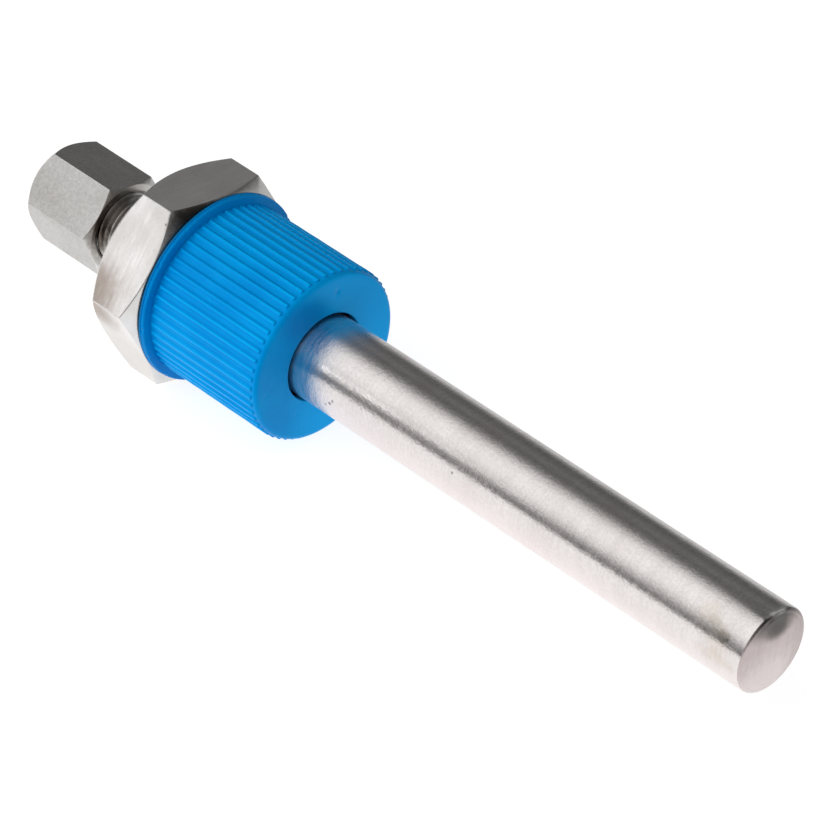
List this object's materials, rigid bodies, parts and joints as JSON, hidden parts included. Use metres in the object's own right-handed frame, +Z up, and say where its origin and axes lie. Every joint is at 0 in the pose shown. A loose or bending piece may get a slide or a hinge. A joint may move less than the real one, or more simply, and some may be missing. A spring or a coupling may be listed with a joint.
{
  "type": "thermowell",
  "caption": "Screw-in thermowell: hexagon body with a closed stem tube, a compression nut that clamps a probe and a ribbed push-on cap over its process thread.",
  "frame": {"origin": "centre of the sealing face, the front face of the large hexagon, on the long axis", "axes": "+X along the long axis towards the closed tip, +Z up, square to the hexagon's top flat, as the part lies"},
  "size_m": [0.1305, 0.0312, 0.0272],
  "materials": {
    "body_steel": "satin, fine turned",
    "stem_steel": "ground round the axis",
    "weld_steel": "bare weld",
    "ring_steel": "turned",
    "cap_plastic": "waxy moulded plastic"
  },
  "bodies": {
    "well": {"process_body": "body_steel", "stem_tube": "stem_steel", "tip_plug": "stem_steel", "root_weld": "weld_steel"},
    "ring": {"cutting_ring": "ring_steel"},
    "nut": {"compression_nut": "body_steel"},
    "cap": {"thread_cap": "cap_plastic"}
  },
  "joints": [
    {"name": "nut_travel", "type": "slide", "parent": "well", "child": "ring", "axis": [-1, 0, 0], "range_m": [0, 0.0072]},
    {"name": "nut_turn", "type": "hinge", "parent": "ring", "child": "nut", "pos_m": [-0.024, 0, 0], "axis": [-1, 0, 0], "range_deg": [0, 2520]},
    {"name": "cap_pull", "type": "slide", "parent": "well", "child": "cap", "axis": [1, 0, 0], "range_m": [0, 0.1]}
  ],
  "couplings": [
    {"joint": "nut_travel", "follows": "nut_turn", "m_per_rad": 0.00015915}
  ]
}
